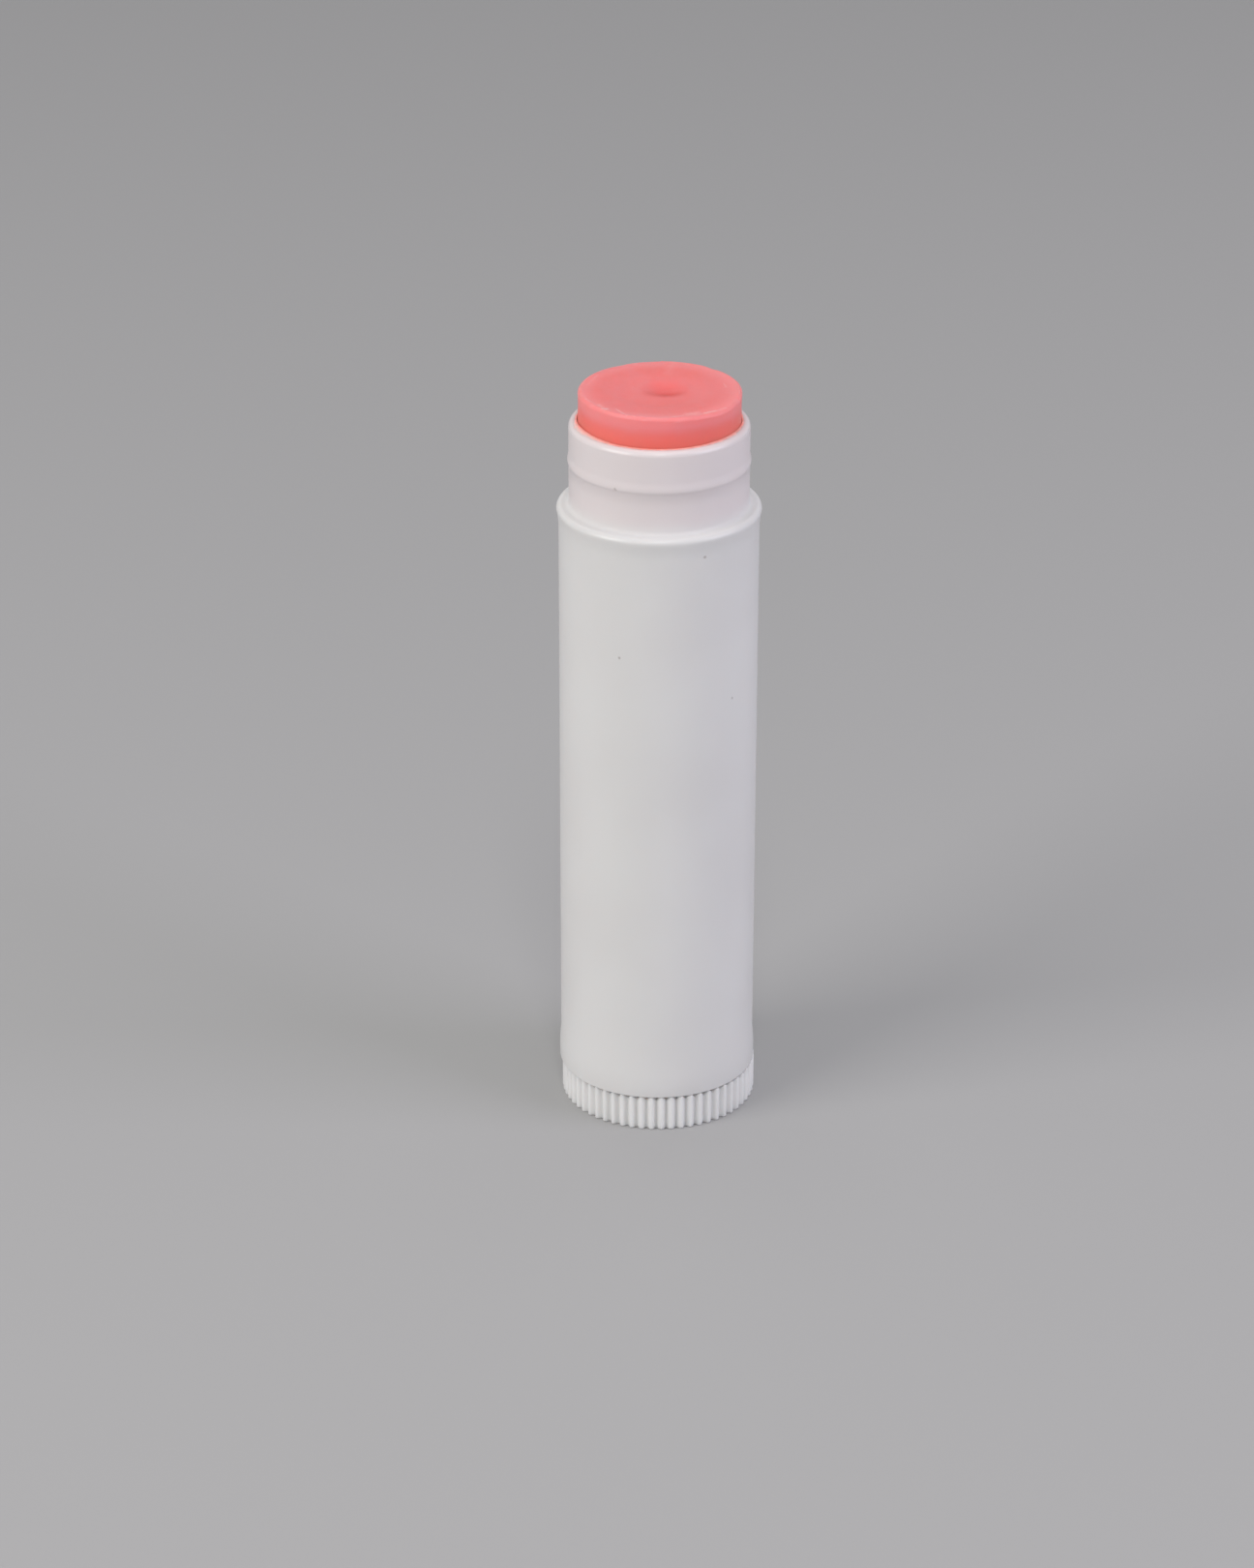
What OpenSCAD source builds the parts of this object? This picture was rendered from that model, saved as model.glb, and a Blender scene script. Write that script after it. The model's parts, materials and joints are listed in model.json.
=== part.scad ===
// Twist-up stick in a round push-up tube, standing open on its turning wheel.
// Four mouldings and castings share one upright axis. Lengths are in millimetres.
// The origin is the middle of the underside, where the tube meets the table, and +Z points up.
// The wheel turns a left-hand lead screw. Ribs in the barrel keep the elevator from turning with
// it, so a turn of the wheel lifts the elevator and the balm cast into it by one lead.

/* [Barrel] */
// Diameter of the bore that the balm slides in
bore_d = 13.1; // [11:0.1:18]
// Wall of the neck at the mouth
neck_wall = 0.59; // [0.58:0.01:0.9]
// Width of the shoulder, from the neck to the outside of the barrel
shoulder_w = 0.81; // [0.7:0.01:1.4]
// Height of the shoulder above the table
shoulder_z = 52.4; // [40:0.2:70]
// Height of the neck above the shoulder
neck_h = 6.9; // [6.5:0.05:11]
// How far the rim of the shoulder flares out past the barrel
rim_flare = 0.17; // [0.05:0.01:0.3]
// Height over which the rim flares
rim_flare_h = 1.4; // [1:0.1:3]
// Rounding of the shoulder's outer edge
shoulder_round = 0.35; // [0.2:0.05:0.45]
// Fillet between the shoulder and the neck
neck_fillet = 0.4; // [0.1:0.05:0.5]
// Rounding of the mouth's lip on the outside
lip_round = 0.47; // [0.2:0.01:0.48]
// Rounding of the mouth's lip on the inside
lip_in_round = 0.1; // [0.05:0.01:0.11]
// How far the foot of the barrel stands out
foot_flare = 0.1; // [0.02:0.01:0.2]
// Height of the foot's straight band
foot_h = 1.5; // [0.8:0.1:3]
// Height over which the foot tapers into the barrel
foot_taper_h = 1.2; // [0.5:0.1:3]
// Rounding of the barrel's lower edge
foot_round = 0.15; // [0.05:0.01:0.3]

/* [Cap bead on the neck] */
// How far the bead stands out of the neck
bead_out = 0.09; // [0.04:0.005:0.15]
// Height of the bead's crest above the shoulder
bead_rise = 3.68; // [2:0.02:4]
// Height of the bead below its crest
bead_low_h = 0.45; // [0.2:0.05:0.8]
// Height of the bead above its crest
bead_high_h = 0.7; // [0.3:0.05:1.2]

/* [Guide ribs] */
// Number of ribs in the bore
rib_count = 4; // [2:1:6]
// Width of a rib
rib_w = 0.9; // [0.5:0.05:1.4]
// How far a rib stands into the bore
rib_out = 0.35; // [0.2:0.01:0.45]
// Distance from the mouth down to the ribs' upper ends
rib_stop = 4; // [3.6:0.1:5]
// Height of the slope at the ends of a rib
rib_slope_h = 0.6; // [0.2:0.05:1]

/* [Turning wheel] */
// Height of the wheel that shows below the barrel
wheel_h = 2.95; // [2.5:0.05:6]
// Number of rounded ridges round the wheel
ridge_count = 60; // [36:1:72]
// Radius of one ridge
ridge_r = 0.4; // [0.3:0.01:0.42]
// Depth of the valleys between the ridges
valley_depth = 0.34; // [0.2:0.01:0.45]
// Bevel at the lower ends of the ridges
wheel_bevel = 0.15; // [0.1:0.05:0.5]
// Thickness of the wheel's floor
floor_t = 1.2; // [0.8:0.1:1.6]
// Radius of the recess under the wheel
recess_r = 5.6; // [4:0.1:6]
// Depth of the recess under the wheel
recess_depth = 0.5; // [0.2:0.05:0.7]
// Radius of the gate mark in the middle of the recess
gate_r = 0.9; // [0.5:0.1:1.5]
// Depth of the gate mark
gate_depth = 0.35; // [0.2:0.05:0.5]

/* [Collar and socket] */
// Depth of the socket in the foot of the barrel
socket_depth = 3.8; // [3:0.1:6]
// Step from the bore out to the socket
socket_step = 0.5; // [0.4:0.05:0.6]
// Wall of the wheel's collar
collar_wall = 0.9; // [0.7:0.05:1.2]
// Space left above the collar
collar_play = 0.3; // [0.2:0.05:0.5]
// Height of the snap bead's middle above the barrel's lower edge
snap_rise = 1.9; // [1.2:0.1:2.2]
// Height of the snap bead
snap_h = 0.8; // [0.5:0.1:1]
// How far the snap bead stands out
snap_out = 0.2; // [0.1:0.01:0.25]
// Bevels that lead the collar into the socket
lead_in = 0.2; // [0.1:0.05:0.3]

/* [Lead screw] */
// Lift of the elevator for one turn of the wheel
lead = 5; // [4:0.5:8]
// Number of thread starts
start_count = 2; // [1:1:2]
// Diameter over the thread
crest_d = 5.4; // [4.6:0.1:6]
// Diameter of the core between the threads
core_d = 3.8; // [3:0.1:4.2]
// Width of the thread at its crest
crest_w = 0.7; // [0.5:0.05:0.9]
// Width of the thread at its foot
thread_foot_w = 1.2; // [1:0.05:1.4]
// Radius of the plain boss at the foot of the screw
boss_r = 3.4; // [3.1:0.1:3.8]
// Height of the boss above the wheel's floor
boss_h = 2.6; // [2:0.1:3.2]
// Height of the blunt tip above the last thread
tip_h = 0.5; // [0.3:0.1:1]

/* [Elevator] */
// Height of the elevator's cup
cup_h = 9; // [7:0.5:12]
// Wall of the cup
cup_wall = 0.75; // [0.65:0.05:1]
// Thickness of the cup's floor
cup_floor = 1; // [0.8:0.1:1.5]
// Wall round the thread in the hub
hub_wall = 1.05; // [0.8:0.05:1.4]
// Height of the hub, from the underside of the floor
hub_h = 4.6; // [3:0.1:5.5]
// Number of webs between the hub and the wall
web_count = 4; // [3:1:6]
// Thickness of a web
web_t = 0.7; // [0.5:0.05:1]
// Height of the webs above the floor
web_h = 2.6; // [1:0.1:2.8]

/* [Balm] */
// How far the balm stands above the mouth
balm_show = 2.55; // [1.6:0.05:8]
// How far the balm has been wound up from its lowest place
rest_lift = 3.125; // [1:0.125:8]
// Rounding of the balm's top edge
balm_round = 0.3; // [0.1:0.05:1]
// Height of the raised edge where the balm climbed the bore as it set
meniscus_h = 0.06; // [0.03:0.01:0.3]
// Width of the raised edge
meniscus_w = 0.5; // [0.3:0.05:1]
// Depth of the broad dish in the top
dish_depth = 0.25; // [0.1:0.01:0.5]
// Depth of the round dimple, below the dish
dimple_depth = 0.28; // [0.2:0.01:0.5]
// Radius of the dimple at its edge
dimple_r = 1.9; // [1:0.1:2.2]
// Distance of the dimple's middle from the axis towards +X
dimple_x = 0.45; // [-1.2:0.05:1.2]
// Distance of the dimple's middle from the axis towards +Y
dimple_y = 1.05; // [-1.2:0.05:1.2]

/* [Fits] */
// Gap at the seam between the wheel and the barrel
seam_gap = 0.08; // [0.05:0.01:0.2]
// Radial running clearance of the collar in its socket
collar_gap = 0.06; // [0.04:0.01:0.1]
// Radial sliding clearance of the elevator in the bore
slide_gap = 0.08; // [0.05:0.01:0.15]
// Radial clearance of the balm in the bore
balm_gap = 0.12; // [0.1:0.01:0.2]
// Clearance on each side of a guide rib
rib_gap = 0.1; // [0.06:0.01:0.15]
// Clearance between the screw's thread and the hub's
thread_gap = 0.15; // [0.12:0.01:0.2]
// Clearance of the balm round and above the screw
cavity_gap = 0.3; // [0.2:0.05:0.6]
// Shrinkage gap between the cast balm and the elevator
cast_gap = 0.02; // [0.01:0.01:0.05]

/* [Hidden] */
// Names of the separate pieces
// Smoothness of round pieces
$fn = 96;
// Steps in a quarter round
round_steps = 5;
// Steps of the screw in one turn
turn_steps = 16;
// Points across the core between two threads
core_steps = 4;
// Steps across the bead
bead_steps = 8;
// Steps from the middle of the balm's top to its raised edge
dish_steps = 8;
// Steps across the balm's raised edge
edge_steps = 4;
// Length by which a cut runs past what it cuts
overrun = 0.5;
// Length by which joined shapes run into each other
bite = 0.2;
// Turn of the first guide rib away from the front
rib_turn = 45;
// Turn of the first ridge, half a pitch, which puts a valley at the front
ridge_turn = 180 / ridge_count;

bore_r = bore_d / 2;
neck_r = bore_r + neck_wall;
barrel_r = neck_r + shoulder_w;
mouth_z = shoulder_z + neck_h;

foot_z = wheel_h + seam_gap;
socket_r = bore_r + socket_step;
socket_top = foot_z + socket_depth;
snap_z = foot_z + snap_rise;
collar_r = socket_r - collar_gap;
collar_top = socket_top - collar_play;
wheel_floor_z = recess_depth + floor_t;

crest_r = crest_d / 2;
core_r = core_d / 2;
elevator_z = socket_top + rest_lift;
cup_r = bore_r - slide_gap;
cup_in_r = cup_r - cup_wall;
cup_floor_z = elevator_z + cup_floor;
cup_top = elevator_z + cup_h;
hub_r = crest_r + thread_gap + hub_wall;
hub_top = elevator_z + hub_h;

thread_z = wheel_floor_z + boss_h - bite;
screw_top = mouth_z - cup_h + hub_h;

balm_r = bore_r - balm_gap;
balm_top = mouth_z + balm_show;
dish_r = balm_r - balm_round;
dimple_ball_r = (pow(dimple_r, 2) + pow(dimple_depth, 2)) / (2 * dimple_depth);
cavity_r = crest_r + cavity_gap;
cavity_top = screw_top + tip_h + rest_lift + cavity_gap;

rib_top = mouth_z - rib_stop;
rib_in_r = bore_r - rib_out;

// Points of an arc about a centre, from one angle to another
function arc(centre, radius, from, to) = [
    for (i = [0:round_steps])
        let (a = from + (to - from) * i / round_steps)
        centre + radius * [cos(a), sin(a)]
];

// Section of the screw with its threads grown by a clearance all round
function screw_section(gap) =
    let (
        pitch_turn = 360 / start_count,
        gap_turn = 360 * gap / lead,
        crest_turn = 180 * crest_w / lead + gap_turn,
        foot_turn = 180 * thread_foot_w / lead + gap_turn,
        thread = [[-foot_turn, core_r], [-crest_turn, crest_r], [0, crest_r],
                  [crest_turn, crest_r], [foot_turn, core_r]],
        core = [for (i = [1:core_steps - 1])
                    [foot_turn + (pitch_turn - 2 * foot_turn) * i / core_steps, core_r]]
    )
    [for (s = [0:start_count - 1])
        for (p = concat(thread, core))
            (p[1] + gap) * [cos(p[0] + pitch_turn * s), sin(p[0] + pitch_turn * s)]];

// Height of the balm's top face at a distance from the axis
function top_face_z(r) =
    let (climb_share = max(0, r - dish_r + meniscus_w) / meniscus_w)
    balm_top - meniscus_h * (1 - pow(climb_share, 2)) - dish_depth * (1 - pow(r / dish_r, 2));

// A left-hand screw from one height to another, in mesh at every height
module screw(from, to, gap) {
    rise = to - from;
    section = screw_section(gap);
    translate([0, 0, from])
        rotate(-360 * from / lead)
            linear_extrude(height = rise, twist = 360 * rise / lead,
                           slices = ceil(turn_steps * rise / lead), segments = len(section))
                polygon(section);
}

// One guide rib's side view, extruded across its width
module rib_bar(in_r, out_r, from, to, slope_h, width) {
    rotate([90, 0, 0])
        linear_extrude(height = width, center = true)
            polygon([[out_r, from], [in_r, from + slope_h], [in_r, to - slope_h], [out_r, to]]);
}

// Places what it is given at each guide rib
module at_ribs() {
    for (i = [0:rib_count - 1])
        rotate(rib_turn + 360 * i / rib_count) children();
}

// Slots that let a sliding piece pass the ribs
module rib_slots(from, to) {
    at_ribs()
        rib_bar(rib_in_r - rib_gap, bore_r + overrun, from, to, 0, rib_w + 2 * rib_gap);
}

// Webs between the elevator's hub and wall, grown by a gap
module webs(gap) {
    for (i = [0:web_count - 1])
        rotate(360 * i / web_count)
            translate([hub_r - bite, -web_t / 2 - gap, cup_floor_z - bite])
                cube([cup_in_r - hub_r + 2 * bite, web_t + 2 * gap, web_h + bite + gap]);
}

// Half section of the barrel: outside from the foot up to the lip, then the bore down to the socket
function barrel_outline() =
    let (
        foot_r = barrel_r + foot_flare,
        rim_r = barrel_r + rim_flare,
        bead_z = shoulder_z + bead_rise,
        bead_shares = [for (i = [0:bead_steps]) 2 * i / bead_steps - 1],
        groove_low = snap_z - snap_h / 2 - collar_gap,
        groove_high = snap_z + snap_h / 2 + collar_gap
    )
    concat(
        arc([foot_r - foot_round, foot_z + foot_round], foot_round, -90, 0),
        [[foot_r, foot_z + foot_h], [barrel_r, foot_z + foot_h + foot_taper_h],
         [barrel_r, shoulder_z - shoulder_round - rim_flare_h]],
        arc([rim_r - shoulder_round, shoulder_z - shoulder_round], shoulder_round, 0, 90),
        arc([neck_r + neck_fillet, shoulder_z + neck_fillet], neck_fillet, -90, -180),
        [for (share = bead_shares)
            [neck_r + bead_out * pow(cos(90 * share), 2),
             bead_z + share * (share < 0 ? bead_low_h : bead_high_h)]],
        arc([neck_r - lip_round, mouth_z - lip_round], lip_round, 0, 90),
        arc([bore_r + lip_in_round, mouth_z - lip_in_round], lip_in_round, 90, 180),
        [[bore_r, socket_top], [socket_r, socket_top],
         [socket_r, groove_high], [socket_r + snap_out, groove_high - snap_out],
         [socket_r + snap_out, groove_low + snap_out], [socket_r, groove_low],
         [socket_r, foot_z + lead_in], [socket_r + lead_in, foot_z]]
    );

// Tube with a shoulder, a neck for the cap, a socket in its foot and guide ribs in its bore
module barrel() {
    color([0.88, 0.88, 0.89])
        union() {
            rotate_extrude() polygon(barrel_outline());
            at_ribs()
                rib_bar(rib_in_r, bore_r + bite, socket_top, rib_top, rib_slope_h, rib_w);
        }
}

// Rounded ridges round the wheel, seen from above
module ridged_disc() {
    ridge_ring_r = barrel_r - ridge_r;
    circle(r = barrel_r - valley_depth);
    for (i = [0:ridge_count - 1])
        rotate(ridge_turn + 360 * i / ridge_count) translate([ridge_ring_r, 0]) circle(r = ridge_r);
}

// Half section of everything inside the ridges: rim, collar with its snap bead, and floor
function wheel_body_outline() =
    let (
        collar_in_r = collar_r - collar_wall,
        bead_low = snap_z - snap_h / 2,
        bead_high = snap_z + snap_h / 2
    )
    [
        [0, recess_depth + gate_depth], [gate_r, recess_depth], [recess_r, recess_depth], [recess_r, 0],
        [barrel_r - valley_depth - wheel_bevel, 0], [barrel_r - valley_depth - bite, wheel_bevel],
        [barrel_r - valley_depth - bite, wheel_h], [collar_r, wheel_h],
        [collar_r, bead_low], [collar_r + snap_out, bead_low + snap_out],
        [collar_r + snap_out, bead_high - snap_out], [collar_r, bead_high],
        [collar_r, collar_top - lead_in], [collar_r - lead_in, collar_top],
        [collar_in_r, collar_top], [collar_in_r, wheel_floor_z],
        [boss_r, wheel_floor_z], [boss_r, wheel_floor_z + boss_h], [0, wheel_floor_z + boss_h]
    ];

// Ring of ridges, bevelled at the lower edge and open in the middle
module ridged_ring() {
    bevel_r = barrel_r - wheel_bevel;
    inner_r = barrel_r - valley_depth - wheel_bevel - bite;
    difference() {
        linear_extrude(height = wheel_h) ridged_disc();
        translate([0, 0, -overrun]) cylinder(r = inner_r, h = wheel_h + 2 * overrun);
        rotate_extrude()
            polygon([[bevel_r - overrun, -overrun], [bevel_r + wheel_bevel + overrun, -overrun],
                     [bevel_r + wheel_bevel + overrun, wheel_bevel + overrun]]);
    }
}

// Wheel, snap collar and lead screw, moulded in one
module base_wheel() {
    color([0.9, 0.9, 0.9])
        union() {
            rotate_extrude() polygon(wheel_body_outline());
            ridged_ring();
            screw(thread_z, screw_top, 0);
            translate([0, 0, screw_top - bite])
                cylinder(r1 = core_r, r2 = core_r - tip_h / 2, h = tip_h + bite);
        }
}

// Cup that carries the balm, with a threaded hub and notches for the ribs
module elevator() {
    color([0.93, 0.93, 0.92])
        difference() {
            union() {
                rotate_extrude()
                    polygon([[0, elevator_z], [cup_r - lead_in, elevator_z], [cup_r, elevator_z + lead_in],
                             [cup_r, cup_top], [cup_in_r, cup_top], [cup_in_r, cup_floor_z],
                             [hub_r, cup_floor_z], [hub_r, hub_top], [0, hub_top]]);
                webs(0);
            }
            rib_slots(elevator_z - overrun, cup_top + overrun);
            screw(elevator_z - overrun, hub_top + overrun, thread_gap);
        }
}

// Hollow left in the balm's top as it cooled, a shallow part of a ball
module dimple() {
    dimple_floor_z = top_face_z(norm([dimple_x, dimple_y])) - dimple_depth;
    translate([dimple_x, dimple_y, dimple_floor_z + dimple_ball_r]) sphere(r = dimple_ball_r);
}

// Balm cast into the cup and round the screw, with a dished top
module balm() {
    dish_edge_r = dish_r - meniscus_w;
    raised_edge = [for (i = [edge_steps:-1:1]) dish_edge_r + meniscus_w * i / edge_steps];
    dish = [for (i = [dish_steps:-1:0]) dish_edge_r * i / dish_steps];
    top_face = [for (r = concat(raised_edge, dish)) [r, top_face_z(r)]];
    edge_centre = [dish_r, balm_top - balm_round];
    color([0.93, 0.51, 0.5])
        difference() {
            rotate_extrude()
                polygon(concat(
                    [[hub_r + cast_gap, cup_floor_z + cast_gap],
                     [cup_in_r - cast_gap, cup_floor_z + cast_gap],
                     [cup_in_r - cast_gap, cup_top + cast_gap], [balm_r, cup_top + cast_gap]],
                    arc(edge_centre, balm_round, 0, 80),
                    top_face,
                    [[0, cavity_top], [cavity_r, cavity_top],
                     [cavity_r, hub_top + cast_gap], [hub_r + cast_gap, hub_top + cast_gap]]
                ));
            rib_slots(cup_top, rib_top + rest_lift + rib_gap);
            webs(cast_gap);
            dimple();
        }
}

barrel();
base_wheel();
elevator();
balm();
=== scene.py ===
import json
import math
import bmesh
import bpy
from mathutils import Matrix, Vector, noise


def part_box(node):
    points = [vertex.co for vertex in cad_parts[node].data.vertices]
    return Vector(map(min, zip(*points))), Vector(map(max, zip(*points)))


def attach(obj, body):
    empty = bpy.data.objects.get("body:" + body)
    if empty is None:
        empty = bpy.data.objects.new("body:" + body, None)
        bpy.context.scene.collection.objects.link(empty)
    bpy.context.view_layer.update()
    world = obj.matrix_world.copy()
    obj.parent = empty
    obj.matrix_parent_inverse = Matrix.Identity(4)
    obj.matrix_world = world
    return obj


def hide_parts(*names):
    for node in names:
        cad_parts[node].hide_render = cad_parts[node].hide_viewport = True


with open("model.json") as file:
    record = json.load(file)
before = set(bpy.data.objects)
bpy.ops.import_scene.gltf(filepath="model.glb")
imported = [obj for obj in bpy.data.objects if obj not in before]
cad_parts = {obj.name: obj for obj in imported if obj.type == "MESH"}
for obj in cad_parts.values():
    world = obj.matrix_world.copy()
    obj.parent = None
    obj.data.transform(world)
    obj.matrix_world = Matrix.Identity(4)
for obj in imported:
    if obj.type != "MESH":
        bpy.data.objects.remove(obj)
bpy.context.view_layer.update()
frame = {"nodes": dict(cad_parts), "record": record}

# Turning wheel: white polypropylene, moulded in one with its snap collar and the boss of the screw.
# Sixty rounded ridges give the fingers a grip. The collar is pushed up into the barrel's foot,
# where its bead snaps into a groove and lets the wheel turn.

mm = 0.001
mounts = {mount["name"]: mount for mount in frame["record"]["mounts"]}
barrel_r = mounts["barrel_grip"]["dims"]["r_mm"]
foot_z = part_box("barrel")[0][2] / mm

wheel_gap = 0.045
wheel_h = foot_z - wheel_gap
wheel_r = barrel_r + 0.03
wheel_play = 0.134
ridge_count = 60
column_count = 12 * ridge_count
ridge_columns = [2 * math.pi * i / column_count for i in range(column_count)]
valley_depth = 0.32
valley_curve = 1.35
valley_r = wheel_r - valley_depth
notch_depth = 0.34
notch_curve = 1.3
notch_reach = 0.3
skirt_reach = 0.4
top_face_insets = (0.1, 0.28, 0.32)
side_shares = (0.4, 0.7)
wheel_round = 0.16
wheel_top_round = 0.06
notch_low_z = wheel_h - 0.01 - wheel_top_round
recess_r = 5.6
recess_depth = 0.5
recess_round = 0.12
gate_r = 0.9
gate_depth = 0.35
gate_profile = ((0, 1), (0.5, 0.85), (1, 0))
wheel_floor_z = 1.7
boss_r = 3.4
boss_top = 4.3
collar_r = 6.99
collar_in_r = 6.09
collar_top = foot_z + 3.5
collar_bevel = 0.2
snap_z = foot_z + 1.9
snap_half_h = 0.4
snap_out = 0.2
crease_angle = math.radians(38)


def arc(centre_r, centre_z, radius, start, end, steps):
    """Points (radius, height) of an arc in the half section, in millimetres, angles in degrees."""
    turns = [math.radians(start + (end - start) * i / steps) for i in range(steps + 1)]
    return [(centre_r + radius * math.cos(t), centre_z + radius * math.sin(t)) for t in turns]


def polar(radius, height, angle):
    """A point in metres from a radius and a height in millimetres."""
    return (radius * math.cos(angle) * mm, radius * math.sin(angle) * mm, height * mm)


def skinned(name, rings, closed=False):
    """A smooth mesh over rings of points. One point is a pole. Closed joins the last ring to the first."""
    bm = bmesh.new()
    levels = [[bm.verts.new(point) for point in ring] for ring in rings]
    if closed:
        levels.append(levels[0])
    for low, high in zip(levels, levels[1:]):
        count = max(len(low), len(high))
        for i in range(count):
            j = (i + 1) % count
            corners = (low[i % len(low)], low[j % len(low)], high[j % len(high)], high[i % len(high)])
            bm.faces.new(list(dict.fromkeys(corners)))
    bmesh.ops.recalc_face_normals(bm, faces=bm.faces)
    mesh = bpy.data.meshes.new(name)
    bm.to_mesh(mesh)
    bm.free()
    mesh.polygons.foreach_set("use_smooth", [True] * len(mesh.polygons))
    mesh.set_sharp_from_angle(angle=crease_angle)
    piece = bpy.data.objects.new(name, mesh)
    bpy.context.scene.collection.objects.link(piece)
    return piece


def turned(name, outline, angles, shape=lambda radius, height, angle: (radius, height)):
    """An outline of (radius, height) turned about the tube's axis. Shape may change it with the angle."""
    rings = []
    for radius, height in outline:
        if radius == 0:
            rings.append([polar(0, shape(0, height, 0)[1], 0)])
        else:
            rings.append([polar(*shape(radius, height, a), a) for a in angles])
    return skinned(name, rings, closed=outline[0][0] > 0)


def ridged(radius, height, angle):
    """Gives the skirt its round ridges, with notches in the valleys' tops, and its play to the right."""
    if radius < valley_r - skirt_reach:
        return radius, height
    pitches = angle * ridge_count / (2 * math.pi)
    from_ridge = abs(pitches - math.floor(pitches) - 0.5)
    hollow = valley_depth * (0.5 - 0.5 * math.cos(2 * math.pi * from_ridge)) ** valley_curve
    if radius > valley_r - notch_reach and height > notch_low_z:
        height -= notch_depth * (hollow / valley_depth) ** notch_curve
    if radius > valley_r - 0.5 * top_face_insets[0]:
        radius -= hollow
    return radius + wheel_play * math.cos(angle), height


wheel_outline = (
    [(gate_r * out, recess_depth + gate_depth * deep) for out, deep in gate_profile]
    + arc(recess_r - recess_round, recess_depth - recess_round, recess_round, 90, 0, 4)
    + arc(recess_r + recess_round, recess_round, recess_round, 180, 270, 4)
    + arc(wheel_r - wheel_round, wheel_round, wheel_round, -90, 0, 8)
    + [(wheel_r, share * wheel_h) for share in side_shares]
    + arc(wheel_r - wheel_top_round, wheel_h - wheel_top_round, wheel_top_round, 0, 90, 4)
    + [(valley_r - inset, wheel_h) for inset in top_face_insets]
    + [(collar_r, wheel_h), (collar_r, snap_z - snap_half_h),
       (collar_r + snap_out, snap_z - snap_half_h + snap_out),
       (collar_r + snap_out, snap_z + snap_half_h - snap_out),
       (collar_r, snap_z + snap_half_h), (collar_r, collar_top - collar_bevel),
       (collar_r - collar_bevel, collar_top), (collar_in_r, collar_top), (collar_in_r, wheel_floor_z),
       (boss_r, wheel_floor_z), (boss_r, boss_top), (0, boss_top)]
)
wheel = turned("turning_wheel", wheel_outline, ridge_columns, ridged)


def node_group(name, inputs, outputs):
    """A shader node group with named sockets, and its two end nodes."""
    tree = bpy.data.node_groups.new(name, "ShaderNodeTree")
    for label, kind, value in inputs:
        socket = tree.interface.new_socket(name=label, in_out="INPUT", socket_type=kind)
        socket.default_value = value
    for label, kind in outputs:
        tree.interface.new_socket(name=label, in_out="OUTPUT", socket_type=kind)
    return tree, tree.nodes.new("NodeGroupInput"), tree.nodes.new("NodeGroupOutput")


def noise_node(tree, where, scale, detail, rough):
    """A noise texture on the piece's own coordinates, with its features about 1 / scale metres wide."""
    texture = tree.nodes.new("ShaderNodeTexNoise")
    texture.inputs["Scale"].default_value = scale
    texture.inputs["Detail"].default_value = detail
    texture.inputs["Roughness"].default_value = rough
    tree.links.new(where, texture.inputs["Vector"])
    return texture.outputs["Fac"]


def reckon(tree, operation, first, second=0.0, third=0.0):
    """A math node on sockets or plain numbers."""
    maths = tree.nodes.new("ShaderNodeMath")
    maths.operation = operation
    for socket, value in zip(maths.inputs, (first, second, third)):
        if isinstance(value, (int, float)):
            socket.default_value = value
        else:
            tree.links.new(value, socket)
    return maths.outputs[0]


def spread(tree, value, low, high, to_low=0.0, to_high=1.0):
    """Stretches a value between two limits over a new range, smoothly and without running past it."""
    ramp = tree.nodes.new("ShaderNodeMapRange")
    ramp.interpolation_type = "SMOOTHSTEP"
    for label, number in (("From Min", low), ("From Max", high), ("To Min", to_low), ("To Max", to_high)):
        ramp.inputs[label].default_value = number
    tree.links.new(value, ramp.inputs["Value"])
    return ramp.outputs["Result"]


def fade(tree, length, span, start=0.0, end=1.0):
    """Spreads a length of the piece over a span of heights or radii, given in millimetres."""
    return spread(tree, length, span[0] * mm, span[1] * mm, start, end)


def blend_colour(tree, factor, first, second):
    """A mix of two colours, given as sockets or as linear colours."""
    mix = tree.nodes.new("ShaderNodeMix")
    mix.data_type = "RGBA"
    for socket, value in ((mix.inputs[0], factor), (mix.inputs[6], first), (mix.inputs[7], second)):
        if isinstance(value, bpy.types.NodeSocket):
            tree.links.new(value, socket)
        else:
            socket.default_value = value
    return mix.outputs[2]


def object_place(tree):
    """The piece's own coordinates, its height and its distance from the tube's axis, in metres."""
    place = tree.nodes.new("ShaderNodeTexCoord").outputs["Object"]
    split = tree.nodes.new("ShaderNodeSeparateXYZ")
    tree.links.new(place, split.inputs["Vector"])
    away = reckon(tree, "SQRT", reckon(tree, "MULTIPLY_ADD", split.outputs["X"], split.outputs["X"],
                                       reckon(tree, "MULTIPLY", split.outputs["Y"], split.outputs["Y"])))
    return place, split.outputs["Z"], away


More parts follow.
